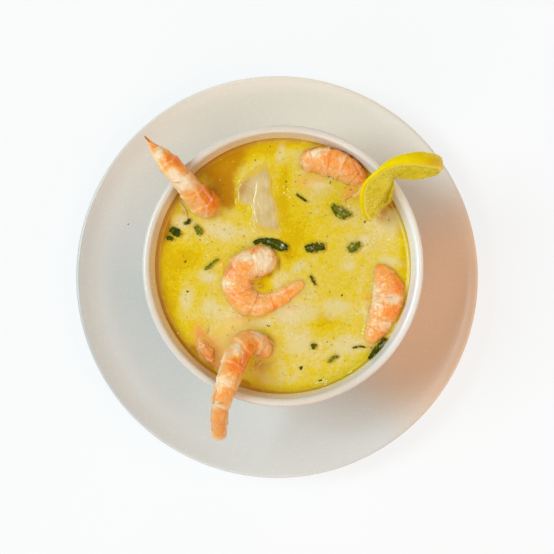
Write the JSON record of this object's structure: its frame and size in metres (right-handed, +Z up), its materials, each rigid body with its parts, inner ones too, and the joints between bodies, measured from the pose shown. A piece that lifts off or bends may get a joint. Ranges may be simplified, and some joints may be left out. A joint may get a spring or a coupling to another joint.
{
  "type": "bowl of tom yum soup on a plate",
  "caption": "Round white bowl of creamy yellow tom yum soup with shrimps, herbs, a mushroom slice and a lemon slice bent over its rim, on a shallow round plate.",
  "frame": {"origin": "under the middle of the plate, on the surface it stands on", "axes": "+Z up out of the bowl, +Y towards the far side of the table as the picture shows it, +X to the right"},
  "size_m": [0.23, 0.23, 0.099],
  "materials": {
    "porcelain": "glossy white glaze",
    "soup": "wet, creamy yellow broth",
    "shrimp": "wet, cooked, orange with pale bands",
    "lemon": "wet flesh and waxy yellow rind",
    "mushroom": "wet, beige",
    "herb": "wet dark green leaf"
  },
  "bodies": {
    "root": {"plate": "porcelain", "bowl": "porcelain", "soup": "soup", "shrimp_a": "shrimp", "shrimp_b": "shrimp", "shrimp_c": "shrimp", "shrimp_d": "shrimp", "shrimp_e": "shrimp", "shrimp_f": "shrimp", "lemon_slice": "lemon", "mushroom_slice": "mushroom", "herb_long": "herb", "herb_square": "herb", "herb_right": "herb", "herb_upper": "herb", "herb_left": "herb", "herb_left_low": "herb", "herb_left_curl": "herb", "herb_pale": "herb", "herb_stem_left": "herb", "herb_thread": "herb", "herb_tick": "herb", "herb_low": "herb", "herb_round": "herb", "herb_strand": "herb", "herb_wall": "herb"}
  },
  "joints": []
}
